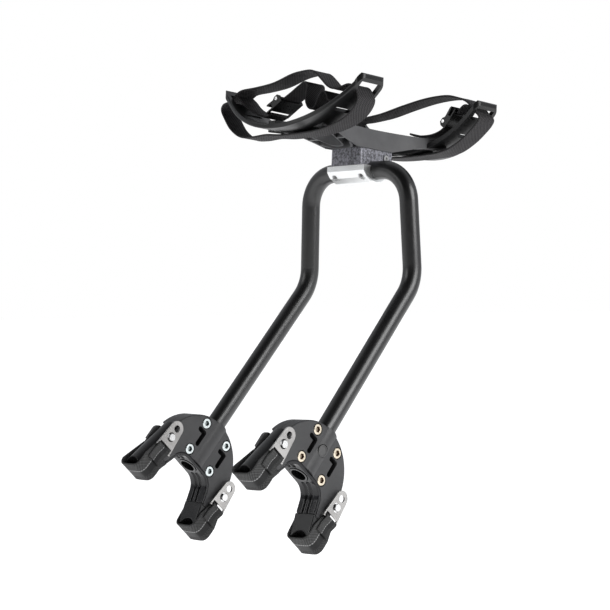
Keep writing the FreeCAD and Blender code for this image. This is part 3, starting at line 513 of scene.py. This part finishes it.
# Routes of the webbing seen along y in the cradle's frame, in millimetres.
BELTS = {
    "front": [(-84, 73), (-76, 76), (-55, 77), (-30, 79.5), (-5, 85.8), (12, 87.6), (23, 87.2), (30, 84),
              (38, 77.3), (46, 70.4), (54, 66.9), (64, 67), (73.5, 68.8), (80.3, 67.2), (84.6, 63.2),
              (87.6, 58.2), (88.6, 53.5), (85, 46.6), (77, 39.5), (66, 34), (50, 29.6), (34, 27.0), (18, 26.0),
              (0, 25.7), (-18, 25.8), (-38, 27.4), (-58, 26.6), (-76, 28.6), (-91, 37.5), (-101, 49.5),
              (-106, 58), (-104, 63.5), (-97, 65.4), (-91, 67.8)],
    "rear": [(-84, 71.5), (-74, 71.8), (-60, 72.8), (-40, 75), (-12, 80.5), (14, 84.8), (34, 86.6),
             (52, 86.4), (66, 83.2), (77, 79.2), (84.2, 73.2), (89.3, 67.4), (94, 63.8), (96.2, 59.8),
             (93, 54.5), (86, 48.2), (75, 40), (59, 31.6), (42, 27.4), (22, 26.1), (0, 25.7), (-22, 26.1),
             (-42, 28.2), (-60, 33), (-76, 42), (-88, 52.5), (-94.4, 60), (-93.5, 65.5), (-90, 68.6)],
}
ANCHORS = {
    "front": [(-84, 70.7), (-78, 66.2), (-70, 59), (-58, 52.4), (-47, 47.8), (-38.6, 45.8), (-31.4, 48.2)],
    "rear": [(81.5, 72.4), (78.6, 74.4), (74.7, 74.3), (70.9, 71.8), (66.7, 67.1)],
}
TAILS = {
    "front": [(-15.3, 62), (-5, 67), (6, 73), (14, 76.6), (18.8, 74), (18, 68), (17, 60), (20, 52.2),
              (26, 49), (31.3, 51.8), (34.5, 58.5), (38, 64), (42.5, 64.8), (46, 61), (48.5, 56), (54, 54)],
    "rear": [(50.7, 53.9), (43, 49.4), (33, 46.7), (22, 46.1), (11, 47), (2, 50)],
}


def metres(points):
    return [(x * MM, z * MM) for x, z in points]


def ripple(seed, amount):
    """Slow unevenness of a strap, different for each one."""
    chance = random.Random(seed)
    phases = [chance.uniform(0, 2 * math.pi) for _ in range(4)]

    def height(run, u):
        slow = math.sin(run / (31 * MM) + phases[0]) * (u - 0.5)
        quick = math.sin(run / (11 * MM) + phases[1]) * math.cos(u * 3 + phases[2])
        return amount * (slow + 0.35 * quick)
    return height


def cradle_straps():
    for end, side in (("front", -1), ("rear", 1)):
        routes = (("belt", BELTS[end], True), ("buckle_strap", ANCHORS[end], False),
                  ("strap_tail", TAILS[end], False))
        for kind, points, closed in routes:
            name = end + "_" + kind
            wave = ripple(name, 0.25 * MM if closed else 0.1 * MM)
            mesh = band(name + "_webbing", metres(points), BELT_WIDTH, BELT_THICK, CRADLE, side * BELT_Y,
                        closed, lift=None if closed else wave)
            add_object(name + "_webbing", mesh, "belt_webbing", "cradle", [name])


# ---------------------------------------------------------------- stay clamps
PAD_HALF = 12.5
FOOT_Y = 68.4
STRAP_Z = 48.0
STRAP_T = 1.6
STRAP_W = 25.0
BAR_X = 16.05       # axis of the tab's bar
BAR_Y = 40.4
BAR_LOOP = 2.0      # radius of the webbing's middle round the bar
LEAN = 6.0          # how far the far end leans towards its anchor
KNEE = 22.0         # running length of the sewn fold
TAPER = 16.0        # over which the fold's narrow end widens to the full strap
RISE = 28.0         # length of the far end's leaning part
FOLD_WIDTH = 0.66   # of the full width, at the fold
END_NARROWING = 0.3  # of the full width, lost at the far end


def foot_strap(side, level, sign):
    """Webbing sewn round the tab's bar, down the near face, under the foot and up to the far anchor."""
    skin = PAD_HALF + 0.3 + STRAP_T / 2
    foot = FOOT_Y + 0.4 + STRAP_T / 2
    outer = skin + STRAP_T + 0.1
    turn = [(outer + 0.1, 56.5), (outer, 52), (outer + 0.3, 47), (BAR_X + BAR_LOOP - 0.8, 43.2)]
    for angle in (0, 45, 90, 135, 180):
        turn.append((BAR_X + BAR_LOOP * math.cos(math.radians(angle)),
                     BAR_Y - BAR_LOOP * math.sin(math.radians(angle))))
    under = [(skin, 45), (skin, 51), (skin + 0.15, 58), (skin, 63.5), (skin - 0.9, foot - 1.9),
             (skin - 3.8, foot + 0.9), (6, foot + 1.5), (0, foot + 1.6)]
    far = [(-x, y) for x, y in under[-2:2:-1]] + [(-skin, 56), (-skin, 46), (-skin, 36)]
    swap = Matrix(((1, 0, 0, 0), (0, 0, 1, 0), (0, 1, 0, 0), (0, 0, 0, 1)))
    name = side + "_" + level + "_strap"

    def leaning(run, whole):
        return max(0.0, (run - whole + RISE * MM) / (RISE * MM))

    def narrow(run, whole):
        widening = min(1.0, max(0.0, (run - KNEE * MM) / (TAPER * MM)))
        return FOLD_WIDTH + (1 - FOLD_WIDTH) * widening - END_NARROWING * leaning(run, whole)

    def shift(run, whole):
        return -sign * LEAN * MM * leaning(run, whole)

    mesh = band(name + "_webbing", metres(turn + under + far), STRAP_W * MM, STRAP_T * MM, CLAMP[side] @ swap,
                sign * STRAP_Z * MM, narrow=narrow, shift=shift)
    add_object(name + "_webbing", mesh, "foot_webbing", side + "_clamp", [name])


def stay_clamps():
    for side in ("left", "right"):
        body = side + "_clamp"
        liner = side + "_throat_liner"
        add_object(liner + "_rubber", softened(liner, liner, 0.5 * MM, 6), "liner_rubber", body, [liner])
        for level, sign in (("upper", -1), ("lower", 1)):
            pad = side + "_" + level + "_foot_pad"
            add_object(pad + "_rubber", softened(pad, pad, 0.6 * MM, 5), "pad_rubber", body, [pad])
            foot_strap(side, level, sign)


# ---------------------------------------------------------------- stage
CAMERA_AT = Vector((1.3016, -1.1764, 0.2000))
CAMERA_AZIMUTH = math.radians(45.04)
CAMERA_ELEVATION = math.radians(0.19)
CAMERA_ROLL = math.radians(-0.79)
LENS = 108.3


def view_axes(azimuth, elevation):
    back = Vector((math.sin(azimuth) * math.cos(elevation), -math.cos(azimuth) * math.cos(elevation),
                   math.sin(elevation)))
    right = Vector((math.cos(azimuth), math.sin(azimuth), 0))
    return right, back.cross(right), back


def make_camera():
    right, up, back = view_axes(CAMERA_AZIMUTH, CAMERA_ELEVATION)
    turn, rise = math.cos(CAMERA_ROLL), math.sin(CAMERA_ROLL)
    data = bpy.data.cameras.new("camera")
    data.lens = LENS
    data.sensor_width = 36
    data.clip_end = 50
    camera = bpy.data.objects.new("camera", data)
    bpy.context.scene.collection.objects.link(camera)
    camera.matrix_world = axes_matrix(right * turn + up * rise, up * turn - right * rise, back, CAMERA_AT)
    bpy.context.scene.camera = camera


FLOOR_DROP = 0.12    # from the lowest foot to the floor
FLOOR_HALF = 30.0


def make_floor():
    low = CAD_BOX[0].z - FLOOR_DROP
    mesh = bpy.data.meshes.new("floor")
    corners = [(x * FLOOR_HALF, y * FLOOR_HALF, low) for x, y in ((-1, -1), (1, -1), (1, 1), (-1, 1))]
    mesh.from_pydata(corners, [], [(0, 1, 2, 3)])
    material, tree, shader = new_material("pale_floor", Roughness=0.9, Specular_IOR_Level=0.0)
    shade = noise(tree, object_place(tree), 3.0)
    tree.links.new(ramp(tree, shade, [(0.3, grey(0.90)), (0.7, grey(0.93))]), shader.inputs["Base Color"])
    shader.inputs["Emission Color"].default_value = grey(1.0)
    shader.inputs["Emission Strength"].default_value = 0.80
    mesh.materials.append(material)
    floor = bpy.data.objects.new("floor", mesh)
    bpy.context.scene.collection.objects.link(floor)


def make_world():
    """White surround with a soft dark patch on the camera's side, where the studio is unlit."""
    world = bpy.data.worlds.new("studio")
    bpy.context.scene.world = world
    world.use_nodes = True
    tree = world.node_tree
    tree.nodes.clear()
    place = node(tree, "ShaderNodeTexCoord")
    dark_azimuth = CAMERA_AZIMUTH - math.radians(18)
    dark_rise = math.radians(22)
    _, _, dark = view_axes(dark_azimuth, dark_rise)
    towards = node(tree, "ShaderNodeVectorMath", {"operation": "DOT_PRODUCT"})
    towards.inputs[1].default_value = dark
    tree.links.new(place.outputs["Generated"], towards.inputs[0])
    patch = node(tree, "ShaderNodeMapRange", {"interpolation_type": "SMOOTHSTEP"})
    patch.inputs["From Min"].default_value = math.cos(math.radians(86))
    patch.inputs["From Max"].default_value = math.cos(math.radians(44))
    tree.links.new(towards.outputs["Value"], patch.inputs["Value"])
    lit = node(tree, "ShaderNodeMix", {"data_type": "RGBA"})
    lit.inputs[6].default_value = (0.62, 0.63, 0.65, 1)
    lit.inputs[7].default_value = (0.015, 0.015, 0.015, 1)
    tree.links.new(patch.outputs["Result"], lit.inputs["Factor"])
    path = node(tree, "ShaderNodeLightPath")
    shown = node(tree, "ShaderNodeMix", {"data_type": "RGBA"})
    shown.inputs[7].default_value = (1, 1, 1, 1)
    tree.links.new(path.outputs["Is Camera Ray"], shown.inputs["Factor"])
    tree.links.new(lit.outputs[2], shown.inputs[6])
    light = node(tree, "ShaderNodeBackground", Strength=1.0)
    tree.links.new(shown.outputs[2], light.inputs["Color"])
    out = node(tree, "ShaderNodeOutputWorld")
    tree.links.new(light.outputs["Background"], out.inputs["Surface"])
    bpy.context.scene.view_settings.view_transform = "Standard"
    bpy.context.scene.view_settings.gamma = 0.88


def area_light(name, place, target, size, power):
    data = bpy.data.lights.new(name, "AREA")
    data.size = size
    data.energy = power
    lamp = bpy.data.objects.new(name, data)
    bpy.context.scene.collection.objects.link(lamp)
    lamp.location = place
    lamp.rotation_euler = (Vector(target) - Vector(place)).to_track_quat("-Z", "Y").to_euler()


def make_lights():
    middle = (CAD_BOX[0] + CAD_BOX[1]) / 2
    area_light("right_softbox", middle + Vector((1.6, 0.3, 0.7)), middle, 1.0, 18.0)
    area_light("left_softbox", middle + Vector((-0.9, -1.6, 1.0)), middle, 1.0, 8.0)


make_camera()
make_world()
make_floor()
make_lights()
dress_frame()
cradle_straps()
stay_clamps()
